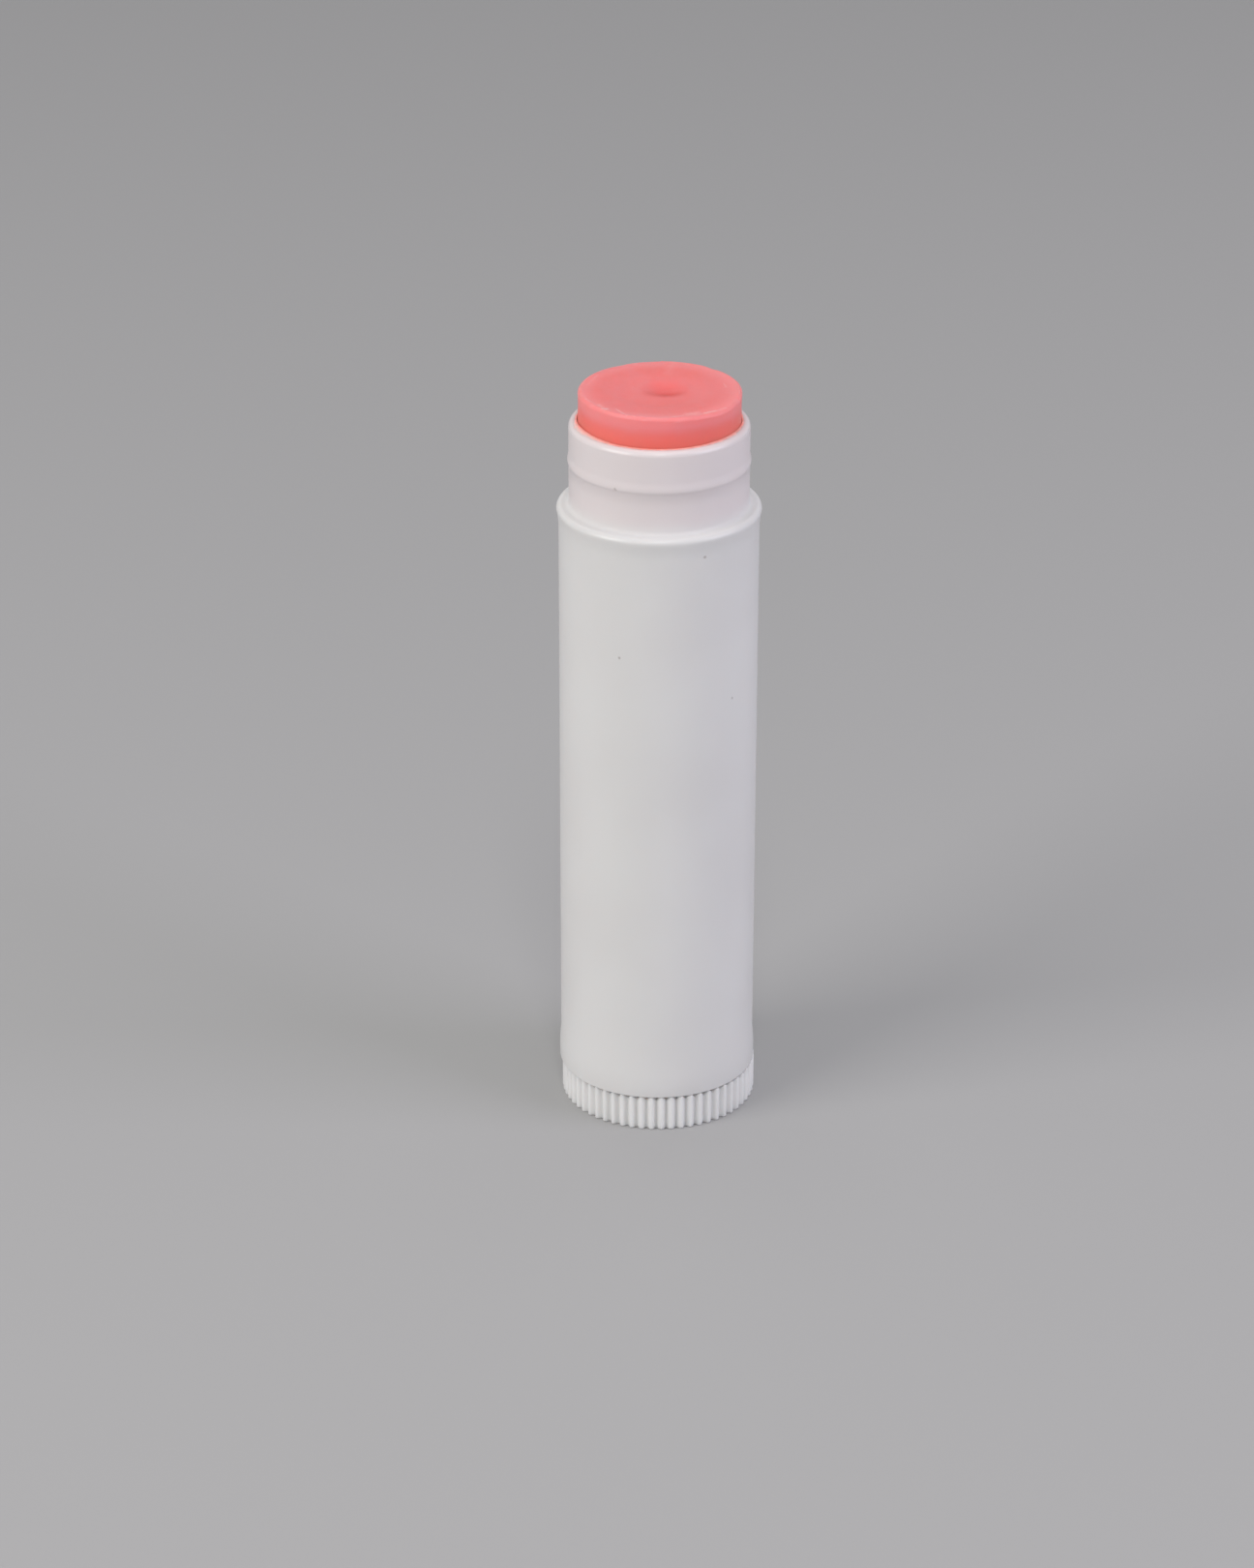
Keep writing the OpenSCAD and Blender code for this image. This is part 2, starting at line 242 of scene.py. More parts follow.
def moulded_skin_group():
    """Surface of moulded polypropylene: faint clouding, and flow lines up the piece."""
    tree, given, out = node_group(
        "moulded skin",
        [("Colour", "NodeSocketColor", (0.8, 0.8, 0.8, 1)),
         ("Cloud Colour", "NodeSocketColor", (0.7, 0.7, 0.7, 1)),
         ("Clouding", "NodeSocketFloat", 0.5), ("Gloss Roughness", "NodeSocketFloat", 0.4)],
        [("Colour", "NodeSocketColor"), ("Roughness", "NodeSocketFloat"), ("Height", "NodeSocketFloat")],
    )
    place = tree.nodes.new("ShaderNodeTexCoord").outputs["Object"]
    stretch = tree.nodes.new("ShaderNodeMapping")
    stretch.inputs["Scale"].default_value = (1, 1, 0.05)
    tree.links.new(place, stretch.inputs["Vector"])
    cloud = noise_node(tree, place, scale=110, detail=1, rough=0.4)
    flow = noise_node(tree, stretch.outputs["Vector"], scale=700, detail=1, rough=0.4)
    amount = reckon(tree, "MULTIPLY", spread(tree, cloud, 0.35, 0.68), given.outputs["Clouding"])
    tree.links.new(blend_colour(tree, amount, given.outputs["Colour"], given.outputs["Cloud Colour"]),
                   out.inputs["Colour"])
    patchy = spread(tree, cloud, 0.25, 0.75, -0.005, 0.035)
    tree.links.new(reckon(tree, "ADD", given.outputs["Gloss Roughness"], patchy), out.inputs["Roughness"])
    tree.links.new(flow, out.inputs["Height"])
    return tree


moulded_skin = moulded_skin_group()


def principled(name, **sockets):
    """A material with its shader, whose sockets are set by name with spaces as underscores."""
    material = bpy.data.materials.new(name)
    material.use_nodes = True
    shader = material.node_tree.nodes["Principled BSDF"]
    for label, value in sockets.items():
        shader.inputs[label.replace("_", " ")].default_value = value
    return material, material.node_tree, shader


def use_group(tree, group, **sockets):
    """The group placed in a material, with its sockets set by name."""
    place = tree.nodes.new("ShaderNodeGroup")
    place.node_tree = group
    for label, value in sockets.items():
        place.inputs[label.replace("_", " ")].default_value = value
    return place


def raise_surface(tree, shader, height, distance):
    """Feeds a height, with its depth in metres, to the shader's normal."""
    bump = tree.nodes.new("ShaderNodeBump")
    bump.inputs["Distance"].default_value = distance
    tree.links.new(height, bump.inputs["Height"])
    tree.links.new(bump.outputs["Normal"], shader.inputs["Normal"])


flow_line_h = 0.000004


def polypropylene(name, colour, cloud_colour, clouding, roughness, depth, finish=lambda tree, skin: skin):
    """Polypropylene: light goes a little way in, so thin edges stay bright. Finish may change its colour."""
    material, tree, shader = principled(
        name, IOR=1.49, Subsurface_Weight=0.6, Subsurface_Radius=(1.0, 0.9, 0.85), Subsurface_Scale=depth)
    skin = use_group(tree, moulded_skin, Colour=colour, Cloud_Colour=cloud_colour, Clouding=clouding,
                     Gloss_Roughness=roughness)
    tree.links.new(finish(tree, skin.outputs["Colour"]), shader.inputs["Base Color"])
    tree.links.new(skin.outputs["Roughness"], shader.inputs["Roughness"])
    raise_surface(tree, shader, skin.outputs["Height"], flow_line_h)
    return material


# Painted shade: a grey laid into the valleys between the wheel's ridges, where they lie in shade.
valley_shade_share = 0.15
valley_shade_grey = (0.6, 0.605, 0.6, 1)
valley_span = (valley_r, barrel_r - 0.04)
skirt_span = (valley_r - 0.25, valley_r - 0.1)


def valley_painted_shade(tree, colour):
    """Greys the valleys between the ridges a little: painted shade, where the ridges keep the light off the
    valleys.
    """
    away = object_place(tree)[2]
    valley = fade(tree, away, valley_span, valley_shade_share, 0.0)
    side = fade(tree, away, skirt_span)
    return blend_colour(tree, reckon(tree, "MULTIPLY", valley, side), colour, valley_shade_grey)


wheel_white = polypropylene(
    "wheel white", colour=(0.8, 0.8, 0.795, 1), cloud_colour=(0.76, 0.76, 0.755, 1),
    clouding=0.6, roughness=0.33, depth=0.0014, finish=valley_painted_shade)
wheel.data.materials.append(wheel_white)
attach(wheel, "wheel")

# Lead screw: the core of the same moulding as the wheel, standing up the middle of the tube. Its
# two left-hand threads lift the elevator one lead for each turn of the wheel.

lead = 5
start_count = 2
crest_r = 2.7
core_r = 1.9
crest_w = 0.7
thread_foot_w = 1.2
screw_foot_z = boss_top - 0.2
screw_tip_h = 0.5
screw_tip_in = 0.3
screw_tip_bevel = 0.05
screw_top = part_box("base_wheel")[1][2] / mm - screw_tip_h
screw_step = 0.25


def thread_radius(turn):
    """Radius of the screw at a part of a turn away from the nearest thread's middle."""
    away = abs(turn - round(turn * start_count) / start_count) * lead
    rise = (thread_foot_w / 2 - away) / (thread_foot_w / 2 - crest_w / 2)
    rise = max(0, min(1, rise))
    return core_r + (crest_r - core_r) * rise * rise * (3 - 2 * rise)


screw_columns = 48
screw_rows = int((screw_top - screw_foot_z) / screw_step)
screw_rings = [[polar(0, screw_foot_z, 0)]]
for row in range(screw_rows + 1):
    height = screw_foot_z + (screw_top - screw_foot_z) * row / screw_rows
    screw_rings.append([
        polar(thread_radius(column / screw_columns), height,
              2 * math.pi * (column / screw_columns - height / lead))
        for column in range(screw_columns)
    ])
tip_turn = -2 * math.pi * screw_top / lead
for inset, rise in ((screw_tip_bevel, screw_tip_bevel), (screw_tip_in, screw_tip_h)):
    screw_rings.append([
        polar(core_r - inset, screw_top + rise, tip_turn + 2 * math.pi * i / screw_columns)
        for i in range(screw_columns)
    ])
screw_rings.append([polar(0, screw_top + screw_tip_h, 0)])
lead_screw = skinned("lead_screw", screw_rings)
lead_screw.data.materials.append(wheel_white)
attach(lead_screw, "wheel")
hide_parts("base_wheel")
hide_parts("base_wheel")

# Elevator: a shallow cup of natural polypropylene with a threaded hub. It is dropped down the
# barrel with its notches on the ribs and wound down the screw before the balm is poured.

elevator = frame["nodes"]["elevator"]
elevator_natural = polypropylene(
    "elevator natural", colour=(0.8, 0.79, 0.76, 1), cloud_colour=(0.72, 0.71, 0.68, 1),
    clouding=0.7, roughness=0.5, depth=0.0003)
for place in elevator.material_slots:
    place.material = elevator_natural

# Barrel: white polypropylene, one moulding with the shoulder, the neck for the cap and the ribs in
# its bore. Its rim and foot flare out a little, and a low bead round the neck holds the cap.

neck_r = mounts["cap_seat"]["dims"]["r_mm"]
mouth_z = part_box("barrel")[1][2] / mm
bore_r = 6.55
shoulder_z = 52.4
wall_rows = 12
rim_flare = 0.17
rim_flare_h = 1.4
rim_flare_curve = 1.7
rim_flare_shares = (0.2, 0.4, 0.6, 0.8)
shoulder_round = 0.42
neck_fillet = 0.36
lip_round = 0.47
lip_in_round = 0.1
lip_straight_h = 1.2
foot_flare = 0.1
foot_flare_h = 2.7
foot_flare_steps = ((0, 1.0), (0.01, 1.5), (0.035, 2.1))
foot_round = 0.15
bead_z = shoulder_z + 3.68
bead_out = 0.09
bead_clear_h = 1.4
bead_low_h = 0.3
bead_low_curve = 0.7
bead_low_shares = (-1, -0.8, -0.6, -0.4, -0.2)
bead_high_h = 0.7
bead_high_curve = 2
bead_high_shares = (0, 0.2, 0.4, 0.6, 0.8, 1)
socket_r = 7.05
socket_top = foot_z + 3.8
socket_bevel = 0.2
groove_out = 0.2
groove_half_h = 0.46
groove_flat_half_h = 0.26
rib_count = 4
rib_turn = math.radians(45)
rib_half_w = 0.45
rib_in_r = bore_r - 0.35
rib_top = mouth_z - 4
rib_slope_h = 0.6
bore_levels = (mouth_z - 2, rib_top, rib_top - rib_slope_h, 40, 25, socket_top + rib_slope_h, socket_top)
barrel_columns = 240
corner_gap = 0.001


def slotted_angles(count, half_widths):
    """Even columns round the tube, with a close pair at each side of every rib or slot."""
    angles = [2 * math.pi * i / count for i in range(count)]
    edges = []
    for k in range(rib_count):
        middle = rib_turn + 2 * math.pi * k / rib_count
        for half in half_widths:
            for side in (-1, 1):
                edges.append((middle + side * half) % (2 * math.pi))
    clear = math.pi / count
    kept = [a for a in angles if all(abs(a - e) > 0.5 * clear for e in edges)]
    return sorted(kept + edges)


def off_rib(angle):
    """Angle from the middle of the nearest rib."""
    step = 2 * math.pi / rib_count
    away = angle - rib_turn
    return away - step * round(away / step)


rib_side = math.asin(rib_half_w / rib_in_r)


def ribbed_bore(radius, height, angle):
    """Pulls the bore in to a rib's flat face between the rib's ends."""
    away = abs(off_rib(angle))
    if radius > bore_r + corner_gap or away > rib_side + corner_gap / 2:
        return radius, height
    rise = min(height - socket_top, rib_top - height) / rib_slope_h
    rise = max(0, min(1, rise))
    return radius + (rib_in_r / math.cos(away) - radius) * rise, height


foot_r = barrel_r + foot_flare
rim_r = barrel_r + rim_flare
flare_low = shoulder_z - shoulder_round - rim_flare_h
flare_mid = shoulder_z - shoulder_round
barrel_outline = (
    arc(foot_r - foot_round, foot_z + foot_round, foot_round, -90, 0, 5)
    + [(foot_r - inset, foot_z + rise) for inset, rise in foot_flare_steps]
    + [(barrel_r, foot_z + foot_flare_h + (flare_low - foot_z - foot_flare_h) * i / wall_rows)
       for i in range(wall_rows + 1)]
    + [(barrel_r + rim_flare * share ** rim_flare_curve, flare_low + rim_flare_h * share)
       for share in rim_flare_shares]
    + arc(rim_r - shoulder_round, flare_mid, shoulder_round, 0, 90, 10)
    + arc(neck_r + neck_fillet, shoulder_z + neck_fillet, neck_fillet, 270, 180, 6)
    + [(neck_r, bead_z - bead_clear_h)]
    + [(neck_r + bead_out * math.cos(math.pi / 2 * share) ** bead_low_curve, bead_z + bead_low_h * share)
       for share in bead_low_shares]
    + [(neck_r + bead_out * math.cos(math.pi / 2 * share) ** bead_high_curve, bead_z + bead_high_h * share)
       for share in bead_high_shares]
    + [(neck_r, mouth_z - lip_straight_h)]
    + arc(neck_r - lip_round, mouth_z - lip_round, lip_round, 0, 90, 12)
    + arc(bore_r + lip_in_round, mouth_z - lip_in_round, lip_in_round, 90, 180, 5)
    + [(bore_r, level) for level in bore_levels]
    + [(socket_r, socket_top), (socket_r, snap_z + groove_half_h),
       (socket_r + groove_out, snap_z + groove_flat_half_h),
       (socket_r + groove_out, snap_z - groove_flat_half_h), (socket_r, snap_z - groove_half_h),
       (socket_r, foot_z + socket_bevel), (socket_r + socket_bevel, foot_z)]
)
barrel_angles = slotted_angles(barrel_columns, (rib_side, rib_side + corner_gap))
barrel = turned("barrel_shell", barrel_outline, barrel_angles, ribbed_bore)


def distance_from(tree, place, point):
    """Distance of the place from a point, in metres."""
    distance = tree.nodes.new("ShaderNodeVectorMath")
    distance.operation = "DISTANCE"
    tree.links.new(place, distance.inputs[0])
    distance.inputs[1].default_value = point
    return distance.outputs["Value"]


def speck_group(places):
    """Specks caught in the surface: a mask that is 1 in small blots with a ragged edge.

    Each place gives degrees from the front, the radius and height in millimetres, and a relative size.
    """
    tree, given, out = node_group(
        "specks", [("Size", "NodeSocketFloat", 0.0002)], [("Mask", "NodeSocketFloat")])
    place = object_place(tree)[0]
    ragged = noise_node(tree, place, scale=5200, detail=2, rough=0.6)
    ragged = reckon(tree, "MULTIPLY", ragged, given.outputs["Size"])
    mask = 0.0
    for angle, radius, level, size in places:
        distance = distance_from(tree, place, polar(radius, level, math.radians(angle - 90)))
        reach = reckon(tree, "DIVIDE", reckon(tree, "ADD", distance, ragged), given.outputs["Size"])
        blot = spread(tree, reach, 0.75 * size, 1.35 * size, size ** 0.5, 0.0)
        mask = reckon(tree, "MAXIMUM", mask, blot)
    tree.links.new(mask, out.inputs["Mask"])
    return tree


speck_places = ((-28, neck_r, 55.97, 1.1), (26.8, barrel_r, 50.63, 1.0), (-22.8, barrel_r, 42.17, 1.0),
                (47.6, barrel_r, 37.87, 1.0), (101, barrel_r, 24.0, 0.8), (-148, barrel_r, 45.5, 0.9))
specks = speck_group(speck_places)
speck_brown = (0.2, 0.15, 0.13, 1)
speck_strength = 0.42
# Painted light: the balm's pink glow through the thin neck and lip, laid into their colour.
neck_balm_glow = (0.755, 0.7, 0.705, 1)
neck_span = (shoulder_z - 0.4, shoulder_z + 1.4)


def neck_glow_and_specks(tree, colour):
    """Paints a pink glow into the neck above the shoulder, standing for the balm's light coming through the
    thin wall, and sets the specks on the surface.
    """
    thin = fade(tree, object_place(tree)[1], neck_span)
    tinted = blend_colour(tree, thin, colour, neck_balm_glow)
    spots = use_group(tree, specks)
    faint = reckon(tree, "MULTIPLY", spots.outputs["Mask"], speck_strength)
    return blend_colour(tree, faint, tinted, speck_brown)


barrel_white = polypropylene(
    "barrel white", colour=(0.74, 0.74, 0.735, 1), cloud_colour=(0.7, 0.695, 0.69, 1),
    clouding=0.6, roughness=0.285, depth=0.0003, finish=neck_glow_and_specks)
shoulder_satin = 0.25
shoulder_edge_span = (shoulder_z - 0.12, shoulder_z - 0.02)
neck_fillet_span = (shoulder_z + 0.3, shoulder_z + 0.9)
lip_polish = -0.09
lip_span = (mouth_z - 0.45, mouth_z - 0.2)


def finished_edges(tree):
    """Leaves the flat of the shoulder more satin and the lip more polished than the rest of the barrel."""
    rough = tree.nodes["Principled BSDF"].inputs["Roughness"]
    moulded = rough.links[0].from_socket
    height = object_place(tree)[1]
    from_edge = fade(tree, height, shoulder_edge_span)
    to_neck = fade(tree, height, neck_fillet_span, shoulder_satin, 0.0)
    satin = reckon(tree, "MULTIPLY", from_edge, to_neck)
    polish = fade(tree, height, lip_span, 0.0, lip_polish)
    tree.links.new(reckon(tree, "ADD", moulded, reckon(tree, "ADD", satin, polish)), rough)


finished_edges(barrel_white.node_tree)
barrel.data.materials.append(barrel_white)
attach(barrel, "barrel")
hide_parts("barrel")

# Balm: coral wax and oil, poured hot through the mouth round the screw and into the cup, then
# wound up. Its top has set with a shallow dish and a dimple, and its edge is rubbed and nicked.

balm_r = bore_r - 0.12
balm_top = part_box("balm")[1][2] / mm
rest_lift = 3.125
cup_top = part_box("elevator")[1][2] / mm
elevator_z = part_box("elevator")[0][2] / mm
cup_in_r = 5.7
cup_floor_z = elevator_z + 1.02
hub_r = 3.92
hub_top = elevator_z + 4.62
cavity_r = 3.0
cavity_top = screw_top + screw_tip_h + rest_lift + 0.3
slot_top = rib_top + rest_lift + 0.1
slot_in_r = rib_in_r - 0.1
slot_side = math.asin((rib_half_w + 0.1) / slot_in_r)
balm_columns = 288
side_rows = 9
side_step = 0.3
side_levels = (slot_top + 0.01, slot_top - 0.01, 50, 35, cup_top + 0.02)
edge_round = 0.3
meniscus_h = 0.05
meniscus_w = 0.5
dish_depth = 0.2
step_depth = 0.07
step_r = 3.3
step_half_w = 0.7
dimple_depth = 0.3
dimple_r = 1.9
dimple_x = 0.45
dimple_y = 0.9
dimple_shares = (0.15, 1.05)
bare_z = mouth_z - 1
lean = 0.035
tilt = 0.03
waist_depth = 0.03
waist_z = mouth_z + 1.1
waist_half_h = 0.65
wavy_from_r = 4.4
wavy_to_r = 6.2
swell_h = 0.02
ripple_h = 0.012
worn_depth = 0.22
worn_from_r = 5.2
worn_to_r = 6.4
worn_side_h = 1.2
worn_places = ((50, 24, 1), (-160, 35, 0.15))
burr_places = ((-35, 15, 1), (45, 16, 0.8), (165, 30, 0.5))
burr_h = 0.05
burr_r = balm_r - 0.15
burr_w = 0.12
burr_groove = 0.04
burr_groove_r = balm_r - 0.5
burr_groove_w = 0.15
rough_depth = 0.03
rough_low_z = mouth_z + 0.3
rough_high_z = mouth_z + 1
nicks = ((-58, 2.2, 0.06), (-12, 2.0, 0.04), (14, 2.6, 0.05), (27, 1.6, 0.05), (74, 3, 0.06),
         (-84, 2.5, 0.05), (138, 4, 0.07), (-150, 5, 0.05))
nick_r = balm_r - 0.1
nick_w = 0.28


def front_angle(angle):
    """Degrees away from the front of the object, positive to the right."""
    return (math.degrees(angle) + 90 + 180) % 360 - 180


def lumpy(angle, scale, level):
    """A smooth unevenness round the tube, from about -1 to 1, the same on every run."""
    return noise.noise(Vector((math.cos(angle) * scale, math.sin(angle) * scale, level)))


def hump(value, middle, width):
    """A rounded hump, 1 at its middle."""
    return math.exp(-((value - middle) / width) ** 2)


def humps(front, places):
    """Humps round the tube, added up, from places of (degrees from the front, width, strength)."""
    return sum(strength * hump(front, middle, width) for middle, width, strength in places)


def slope(value, low, high):
    """A smooth slope from 0 to 1 between two limits."""
    share = max(0, min(1, (value - low) / (high - low)))
    return share * share * (3 - 2 * share)


def waxy(radius, height, angle):
    """Balm as it has set and been rubbed: slots for the ribs, lean, dimple, worn rim, burr and nicks."""
    in_slots = cup_top <= height <= slot_top and radius > slot_in_r
    if in_slots and abs(off_rib(angle)) <= slot_side + corner_gap / 2:
        return slot_in_r / math.cos(off_rib(angle)), height
    if height < bare_z:
        return radius, height
    radius += lean * math.cos(angle) * slope(height, bare_z, balm_top) * min(1, radius)
    front = front_angle(angle)
    worn = worn_depth * humps(front, worn_places)
    if radius > flat_r + 0.5 * edge_round and height < balm_top - edge_round:
        waist = waist_depth * (1 + 0.5 * lumpy(angle, 1.7, 0)) * hump(height, waist_z, waist_half_h)
        lowered = worn - tilt * math.sin(angle)
        lowered *= slope(height, balm_top - worn_side_h, balm_top - edge_round)
        rough = abs(rough_depth * lumpy(angle, 3.1, height * 0.35)) * slope(height, rough_low_z, rough_high_z)
        return radius - waist - rough, height - lowered
    from_dimple = math.hypot(radius * math.cos(angle) - dimple_x, radius * math.sin(angle) - dimple_y)
    lift = -dimple_depth * (1 - slope(from_dimple, dimple_shares[0] * dimple_r, dimple_shares[1] * dimple_r))
    lift += tilt * radius / balm_r * math.sin(angle) - worn * slope(radius, worn_from_r, worn_to_r)
    waves = swell_h * lumpy(angle, 2.2, 0) + ripple_h * lumpy(angle, 7, 0)
    lift += waves * slope(radius, wavy_from_r, wavy_to_r)
    ragged = 0.6 + 0.8 * abs(lumpy(angle, 16, 2))
    ridge = burr_h * hump(radius, burr_r, burr_w) - burr_groove * hump(radius, burr_groove_r, burr_groove_w)
    lift += ragged * humps(front, burr_places) * ridge
    lift -= hump(radius, nick_r, nick_w) * humps(front, nicks)
    return radius, height + lift


def top_height(radius):
    """Height of the top face round the dimple: a dish with a faint step, and a meniscus at its edge."""
    step = step_depth * (1 - slope(radius, step_r - step_half_w, step_r + step_half_w))
    dish = dish_depth * (1 - (radius / flat_r) ** 2) + step
    climb = max(0, radius - flat_r + meniscus_w) / meniscus_w
    return balm_top - meniscus_h * (1 - climb ** 2) - dish


flat_r = balm_r - edge_round
face_steps = 44
balm_outline = (
    [(flat_r * i / face_steps, top_height(flat_r * i / face_steps)) for i in range(face_steps)]
    + arc(flat_r, balm_top - edge_round, edge_round, 90, 0, 8)
    + [(balm_r, balm_top - edge_round - side_step * i) for i in range(1, side_rows + 1)]
    + [(balm_r, level) for level in side_levels]
    + [(cup_in_r, side_levels[-1]), (cup_in_r, cup_floor_z), (hub_r, cup_floor_z), (hub_r, hub_top),
       (cavity_r, hub_top), (cavity_r, cavity_top), (0, cavity_top)]
)
balm_angles = slotted_angles(balm_columns, (slot_side, slot_side + corner_gap))
balm = turned("balm_stick", balm_outline, balm_angles, waxy)


def wax_group():
    """Coloured wax: soft clouding, a paler bloom on rubbed places and fine pits."""
    tree, given, out = node_group(
        "coloured wax",
        [("Colour", "NodeSocketColor", (0.84, 0.22, 0.21, 1)),
         ("Deep Colour", "NodeSocketColor", (0.8, 0.16, 0.14, 1)),
         ("Bloom Colour", "NodeSocketColor", (0.88, 0.36, 0.38, 1)), ("Bloom", "NodeSocketFloat", 0.5)],
        [("Colour", "NodeSocketColor"), ("Roughness", "NodeSocketFloat"), ("Height", "NodeSocketFloat")],
    )
    place = object_place(tree)[0]
    cloud = noise_node(tree, place, scale=190, detail=3, rough=0.5)
    rubbed = noise_node(tree, place, scale=900, detail=5, rough=0.65)
    pits = noise_node(tree, place, scale=4200, detail=2, rough=0.5)
    deep = spread(tree, cloud, 0.35, 0.7)
    body = blend_colour(tree, deep, given.outputs["Colour"], given.outputs["Deep Colour"])
    bloom = reckon(tree, "MULTIPLY", spread(tree, rubbed, 0.5, 0.8), given.outputs["Bloom"])
    tree.links.new(blend_colour(tree, bloom, body, given.outputs["Bloom Colour"]), out.inputs["Colour"])
    tree.links.new(spread(tree, rubbed, 0.3, 0.7, 0.44, 0.58), out.inputs["Roughness"])
    height = reckon(tree, "ADD", reckon(tree, "MULTIPLY", rubbed, 0.7), reckon(tree, "MULTIPLY", pits, 0.3))
    tree.links.new(height, out.inputs["Height"])
    return tree


coloured_wax = wax_group()


pit_h = 0.00002


def tinted_wax(name, colour, deep, bloom_colour, bloom, depth, finish=lambda tree, wax: wax):
    """Lip balm, which light goes well into before it comes back redder. Finish may change its colour."""
    material, tree, shader = principled(
        name, IOR=1.44, Subsurface_Weight=0.85, Subsurface_Radius=(1.0, 0.3, 0.25), Subsurface_Scale=depth)
    wax = use_group(tree, coloured_wax, Colour=colour, Deep_Colour=deep, Bloom_Colour=bloom_colour,
                    Bloom=bloom)
    tree.links.new(finish(tree, wax.outputs["Colour"]), shader.inputs["Base Color"])
    tree.links.new(wax.outputs["Roughness"], shader.inputs["Roughness"])
    raise_surface(tree, shader, wax.outputs["Height"], pit_h)
    return material


def stroke_group():
    """A mask along a line on the balm's top, from Start to End, with a ragged edge, used for painted
    highlight strokes.
    """
    tree, given, out = node_group(
        "painted highlight stroke",
        [("Start", "NodeSocketVector", (0, 0, 0)), ("End", "NodeSocketVector", (0, 0, 0)),
         ("Width", "NodeSocketFloat", 0.0001), ("Strength", "NodeSocketFloat", 1.0)],
        [("Mask", "NodeSocketFloat")],
    )

    def vector(operation, first, second, output="Vector"):
        maths = tree.nodes.new("ShaderNodeVectorMath")
        maths.operation = operation
        tree.links.new(first, maths.inputs[0])
        tree.links.new(second, maths.inputs[1])
        return maths.outputs[output]

    place = object_place(tree)[0]
    flat = tree.nodes.new("ShaderNodeMapping")
    flat.inputs["Scale"].default_value = (1, 1, 0)
    tree.links.new(place, flat.inputs["Vector"])
    line = vector("SUBTRACT", given.outputs["End"], given.outputs["Start"])
    offset = vector("SUBTRACT", flat.outputs["Vector"], given.outputs["Start"])
    share = reckon(tree, "DIVIDE", vector("DOT_PRODUCT", offset, line, "Value"),
                   vector("DOT_PRODUCT", line, line, "Value"))
    share = reckon(tree, "MAXIMUM", reckon(tree, "MINIMUM", share, 1.0), 0.0)
    along = tree.nodes.new("ShaderNodeVectorMath")
    along.operation = "SCALE"
    tree.links.new(line, along.inputs[0])
    tree.links.new(share, along.inputs["Scale"])
    distance = vector("DISTANCE", offset, along.outputs["Vector"], "Value")
    ragged = reckon(tree, "MULTIPLY_ADD", noise_node(tree, place, scale=2600, detail=3, rough=0.7), 2.6, -0.8)
    reach = reckon(tree, "ADD", reckon(tree, "DIVIDE", distance, given.outputs["Width"]), ragged)
    mask = reckon(tree, "MULTIPLY", spread(tree, reach, 0.1, 2.0, 1.0, 0.0), given.outputs["Strength"])
    tree.links.new(mask, out.inputs["Mask"])
    return tree


stroke = stroke_group()
# Painted highlights: pale strokes along the crest of the balm's rim, mostly at the front, where the light
# catches it.
painted_highlight_strokes = (((-5.7, -2.2), (-4.8, -3.35), 0.13, 0.2), ((-4.35, -4.25), (-4.05, -4.15), 0.16, 0.8),
           ((-4.7, -3.3), (-4.1, -4.5), 0.18, 0.3), ((-3.35, -4.15), (-2.5, -5.65), 0.1, 0.4),
           ((-2.5, -5.65), (-1.9, -5.9), 0.07, 0.25), ((1.05, -5.8), (2.05, -5.3), 0.14, 0.25),
           ((2.2, -5.1), (2.95, -4.85), 0.3, 0.3), ((3.45, -4.75), (4.45, -4.0), 0.11, 0.6),
           ((4.45, -4.0), (5.1, -3.5), 0.1, 0.25), ((5.0, 1.6), (5.2, 0.75), 0.08, 0.25),
           ((0.6, 3.9), (1.0, 5.6), 0.4, 0.1), ((-5.7, 1.0), (-4.9, 3.2), 0.1, 0.1))

# Painted shade: the dimple darker and redder than the top, darkest on its front wall.
dimple_shade_coral = (0.87, 0.155, 0.15, 1)
dimple_shade_strength = 0.75
dimple_middle = (dimple_x * mm, dimple_y * mm, (balm_top - 0.55) * mm)
dimple_span = (0.3, 2.3)
dimple_wall_shade_coral = (0.78, 0.1, 0.09, 1)
dimple_wall_shade_strength = 0.9
dimple_wall_nearer = 0.95
dimple_wall_squeeze = 0.6
dimple_wall_span = (0.1, 1.35)


def dimple_painted_shade(tree, place, colour):
    """Paints the dimple's shade into the colour: deeper in the hollow, and most on its front wall, which
    turns away from the light.
    """
    hollow = fade(tree, distance_from(tree, place, dimple_middle), dimple_span, dimple_shade_strength, 0.0)
    deeper = blend_colour(tree, hollow, colour, dimple_shade_coral)
    oval = tree.nodes.new("ShaderNodeMapping")
    oval.inputs["Location"].default_value = (
        -dimple_wall_squeeze * dimple_x * mm, -(dimple_y - dimple_wall_nearer) * mm, 0)
    oval.inputs["Scale"].default_value = (dimple_wall_squeeze, 1, 0)
    tree.links.new(place, oval.inputs["Vector"])
    from_near = tree.nodes.new("ShaderNodeVectorMath")
    from_near.operation = "LENGTH"
    tree.links.new(oval.outputs["Vector"], from_near.inputs[0])
    near_wall = fade(tree, from_near.outputs["Value"], dimple_wall_span, dimple_wall_shade_strength, 0.0)
    return blend_colour(tree, near_wall, deeper, dimple_wall_shade_coral)


scratch_strength = 0.5
scratch_round = 1.6
scratch_narrow = 3500
scratch_r_span = (5.7, 6.3)
scratch_z_span = (balm_top - 0.6, balm_top - 0.2)


